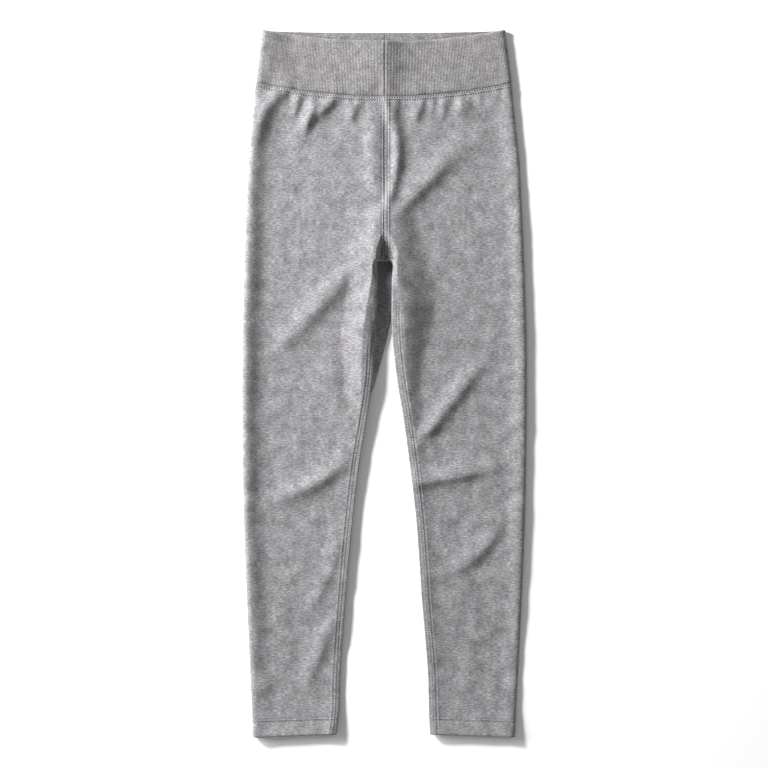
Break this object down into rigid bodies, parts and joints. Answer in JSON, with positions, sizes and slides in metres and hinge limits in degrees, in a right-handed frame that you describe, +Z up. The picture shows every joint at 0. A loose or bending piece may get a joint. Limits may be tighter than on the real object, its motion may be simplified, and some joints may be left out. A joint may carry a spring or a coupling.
{
  "type": "leggings laid flat",
  "caption": "Child's jersey leggings laid flat, face up: tapered one-piece legs, wide folded rib waistband, turned hems, hollow from the waist to both hems.",
  "frame": {"origin": "middle of the footprint, on the surface that the leggings lie on", "axes": "+Z up off the surface, +Y towards the waistband, +X to the right as seen from above, which is the wearer's left"},
  "size_m": [0.2843, 0.7074, 0.0111],
  "materials": {
    "heather_jersey": "brushed heather grey cotton jersey, matt",
    "heather_rib": "heather grey cotton rib knit, matt"
  },
  "bodies": {
    "root": {"leg_left": "heather_jersey", "leg_right": "heather_jersey", "waistband_left": "heather_rib", "waistband_right": "heather_rib"}
  },
  "joints": []
}
